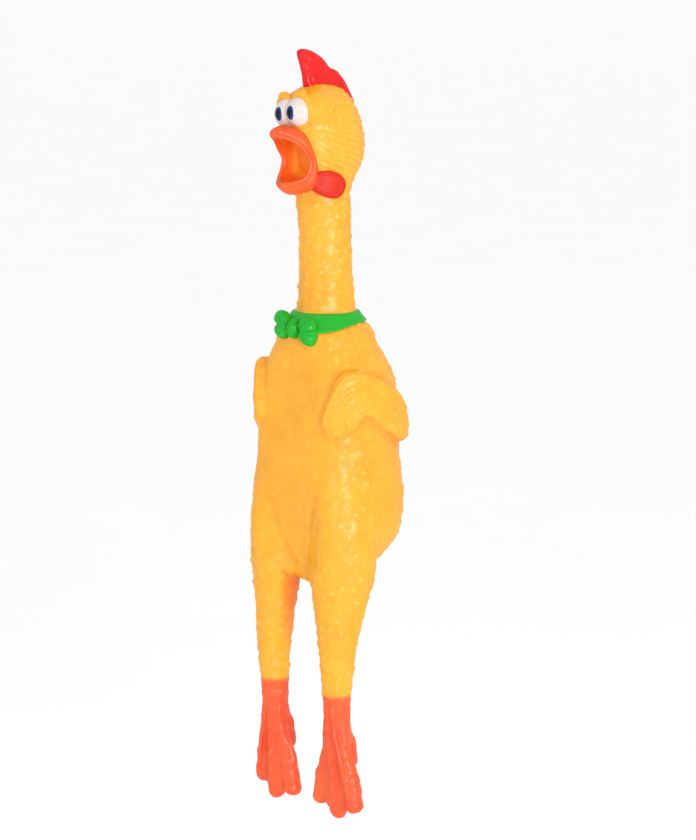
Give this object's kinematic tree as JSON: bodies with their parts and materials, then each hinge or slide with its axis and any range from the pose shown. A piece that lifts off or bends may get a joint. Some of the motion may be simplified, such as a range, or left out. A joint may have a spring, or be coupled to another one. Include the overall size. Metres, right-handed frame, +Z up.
{
  "type": "rubber chicken",
  "caption": "Hollow soft-vinyl chicken with gaping beak, bow tie, folded wings and dangling legs that screams through a neck whistle when squeezed.",
  "frame": {"origin": "on the neck's axis, in the middle of the stretch that a hand holds", "axes": "+Z up along the neck towards the comb, the bird faces -Y, its left side is +X"},
  "size_m": [0.082, 0.0807, 0.3997],
  "materials": {
    "skin_yellow": "glossy soft vinyl, goose-bump texture",
    "comb_red": "glossy paint on vinyl",
    "wattle_red": "glossy paint on vinyl",
    "beak_orange": "glossy paint on vinyl",
    "eye_white": "glossy paint on vinyl",
    "pupil_blue": "glossy paint on vinyl",
    "bow_green": "glossy paint on vinyl",
    "foot_orange": "glossy paint on vinyl",
    "whistle_plastic": "moulded hard plastic",
    "reed_film": "polyester film"
  },
  "bodies": {
    "neck": {"neck_skin": "skin_yellow", "whistle_barrel": "whistle_plastic", "whistle_cap": "whistle_plastic", "reed_seat": "whistle_plastic", "reed_clip": "whistle_plastic", "throat_sleeve": "skin_yellow", "neck_sleeve": "skin_yellow"},
    "reed": {"reed": "reed_film"},
    "head": {"head_skin": "skin_yellow", "comb": "comb_red", "upper_beak": "beak_orange", "lower_beak": "beak_orange", "mouth_lining": "beak_orange", "left_eye": "eye_white", "right_eye": "eye_white", "left_pupil": "pupil_blue", "right_pupil": "pupil_blue", "left_brow": "skin_yellow", "right_brow": "skin_yellow", "left_wattle": "wattle_red", "right_wattle": "wattle_red"},
    "lower_neck": {"lower_neck_skin": "skin_yellow", "collar_sleeve": "skin_yellow"},
    "torso": {"torso_skin": "skin_yellow", "tail": "skin_yellow", "left_wing": "skin_yellow", "right_wing": "skin_yellow", "collar": "bow_green", "bow_knot": "bow_green", "bow_left_loop": "bow_green", "bow_right_loop": "bow_green", "left_hip_sleeve": "skin_yellow", "right_hip_sleeve": "skin_yellow"},
    "belly": {"belly_panel": "skin_yellow"},
    "left_thigh": {"left_thigh_skin": "skin_yellow", "left_knee_sleeve": "skin_yellow"},
    "left_shank": {"left_shank_skin": "skin_yellow", "left_ankle_sleeve": "foot_orange"},
    "left_foot": {"left_foot": "foot_orange"},
    "right_thigh": {"right_thigh_skin": "skin_yellow", "right_knee_sleeve": "skin_yellow"},
    "right_shank": {"right_shank_skin": "skin_yellow", "right_ankle_sleeve": "foot_orange"},
    "right_foot": {"right_foot": "foot_orange"}
  },
  "joints": [
    {"name": "head_nod", "type": "hinge", "parent": "neck", "child": "head", "pos_m": [0, 0, 0.017], "axis": [1, 0, 0], "range_deg": [-40, 40], "stiffness_Nm_per_rad": 0.4, "deforming": ["throat_sleeve"]},
    {"name": "neck_bend", "type": "hinge", "parent": "neck", "child": "lower_neck", "pos_m": [0, 0, -0.017], "axis": [1, 0, 0], "range_deg": [-40, 40], "stiffness_Nm_per_rad": 0.4, "deforming": ["neck_sleeve"]},
    {"name": "body_sway", "type": "hinge", "parent": "lower_neck", "child": "torso", "pos_m": [0, 0, -0.0325], "axis": [0, 1, 0], "range_deg": [-32, 32], "stiffness_Nm_per_rad": 0.4, "deforming": ["collar_sleeve"]},
    {"name": "belly_squeeze", "type": "slide", "parent": "torso", "child": "belly", "axis": [0, 1, 0], "range_m": [0, 0.01], "stiffness_N_per_m": 400},
    {"name": "reed_flex", "type": "hinge", "parent": "neck", "child": "reed", "pos_m": [0, -0.00065, -0.002], "axis": [1, 0, 0], "range_deg": [-2.5, 6], "stiffness_Nm_per_rad": 0.001},
    {"name": "left_hip_swing", "type": "hinge", "parent": "torso", "child": "left_thigh", "pos_m": [0.024, -0.014, -0.189], "axis": [1, 0, 0], "range_deg": [-50, 50], "stiffness_Nm_per_rad": 0.15, "deforming": ["left_hip_sleeve"]},
    {"name": "left_knee_sway", "type": "hinge", "parent": "left_thigh", "child": "left_shank", "pos_m": [0.024, -0.014, -0.215], "axis": [0, -1, 0], "range_deg": [-4, 40], "stiffness_Nm_per_rad": 0.08, "deforming": ["left_knee_sleeve"]},
    {"name": "left_ankle_fold", "type": "hinge", "parent": "left_shank", "child": "left_foot", "pos_m": [0.024, -0.014, -0.241], "axis": [1, 0, 0], "range_deg": [-70, 40], "stiffness_Nm_per_rad": 0.04, "deforming": ["left_ankle_sleeve"]},
    {"name": "right_hip_swing", "type": "hinge", "parent": "torso", "child": "right_thigh", "pos_m": [-0.024, -0.014, -0.189], "axis": [1, 0, 0], "range_deg": [-50, 50], "stiffness_Nm_per_rad": 0.15, "deforming": ["right_hip_sleeve"]},
    {"name": "right_knee_sway", "type": "hinge", "parent": "right_thigh", "child": "right_shank", "pos_m": [-0.024, -0.014, -0.215], "axis": [0, 1, 0], "range_deg": [-4, 40], "stiffness_Nm_per_rad": 0.08, "deforming": ["right_knee_sleeve"]},
    {"name": "right_ankle_fold", "type": "hinge", "parent": "right_shank", "child": "right_foot", "pos_m": [-0.024, -0.014, -0.241], "axis": [1, 0, 0], "range_deg": [-70, 40], "stiffness_Nm_per_rad": 0.04, "deforming": ["right_ankle_sleeve"]}
  ]
}
